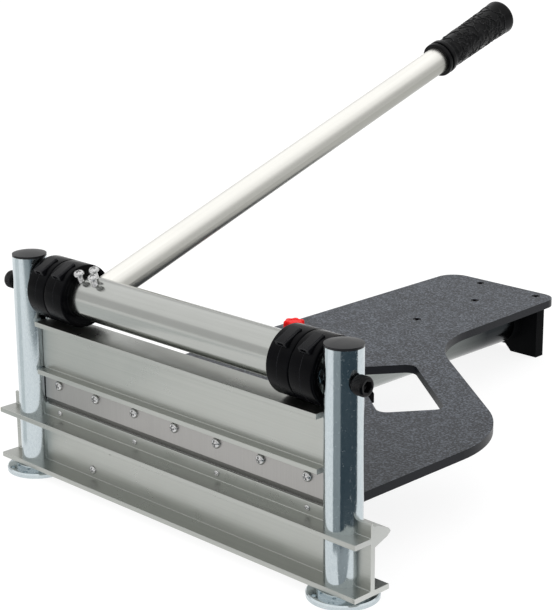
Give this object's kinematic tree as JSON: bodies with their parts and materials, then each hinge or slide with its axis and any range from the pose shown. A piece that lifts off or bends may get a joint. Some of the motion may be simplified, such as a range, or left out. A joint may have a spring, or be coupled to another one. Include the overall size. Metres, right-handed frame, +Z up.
{
  "type": "tile cutter",
  "caption": "Lever-operated guillotine cutter for thin floor tiles: an eccentric roller on two posts presses a straight blade onto a fixed beam in front of a support table.",
  "frame": {"origin": "on the floor, midway between the axes of the two posts", "axes": "+X along the blade from the left post to the right post as seen from the front, +Y to the rear over the table, +Z up"},
  "size_m": [0.4358, 0.6165, 0.3797],
  "materials": {
    "anodised_aluminium": "satin grey anodised extrusion with fine draw lines",
    "bright_zinc": "bright zinc plate with a faint mottle",
    "polished_steel": "polished",
    "blade_steel": "ground, slightly warm",
    "handle_metal": "satin warm silver",
    "spring_steel": "drawn wire",
    "black_oxide": "black oxide, semi-gloss",
    "black_plastic": "moulded, low sheen",
    "pale_nylon": "natural nylon",
    "anvil_plastic": "dark plastic strip",
    "black_rubber": "moulded rubber with a raised pattern",
    "grained_board": "dark grey plastic board with a pebbled grain",
    "red_plastic": "moulded red"
  },
  "bodies": {
    "frame": {"base_beam": "anodised_aluminium", "anvil_strip": "anvil_plastic", "fin_screws": "polished_steel", "web_screws": "polished_steel", "post_left": "bright_zinc", "post_right": "bright_zinc", "cap_left": "black_plastic", "cap_right": "black_plastic", "foot_left": "bright_zinc", "foot_right": "bright_zinc", "pivot_bolt_left": "black_oxide", "pivot_bolt_right": "black_oxide", "washer_left": "black_oxide", "washer_right": "black_oxide", "spring_left": "spring_steel", "spring_right": "spring_steel", "table_board": "grained_board", "table_leg": "grained_board", "support_tube": "anodised_aluminium", "tube_block": "anodised_aluminium", "tube_end_plug": "black_plastic", "leg_bolt": "polished_steel", "tube_pad": "black_rubber", "table_screws": "black_oxide", "knob_stud": "polished_steel"},
    "lever": {"roller_tube": "anodised_aluminium", "roller_plug_left": "anodised_aluminium", "roller_plug_right": "anodised_aluminium", "cam_ring_left_outer": "black_plastic", "cam_ring_left_inner": "black_plastic", "cam_ring_right_inner": "black_plastic", "cam_ring_right_outer": "black_plastic", "handle_socket": "anodised_aluminium", "handle_tube": "handle_metal", "handle_screws": "polished_steel", "handle_grip": "black_rubber"},
    "cutter": {"blade_beam": "anodised_aluminium", "blade": "blade_steel", "blade_screws": "polished_steel", "slider_left": "pale_nylon", "slider_right": "pale_nylon"},
    "knob": {"stop_knob": "red_plastic"}
  },
  "joints": [
    {"name": "handle_swing", "type": "hinge", "parent": "frame", "child": "lever", "pos_m": [0, -0.0028, 0.1753], "axis": [1, 0, 0], "range_deg": [0, 75]},
    {"name": "blade_lift", "type": "slide", "parent": "frame", "child": "cutter", "axis": [0, 0, 1], "range_m": [0, 0.0135], "deforming": ["spring_left", "spring_right"]},
    {"name": "knob_turn", "type": "hinge", "parent": "frame", "child": "knob", "pos_m": [-0.1644, 0.3104, 0.0684], "axis": [0, 0, 1], "range_deg": [0, 180]}
  ],
  "couplings": [
    {"joint": "blade_lift", "follows": "handle_swing", "m_per_rad": 0.010313}
  ]
}
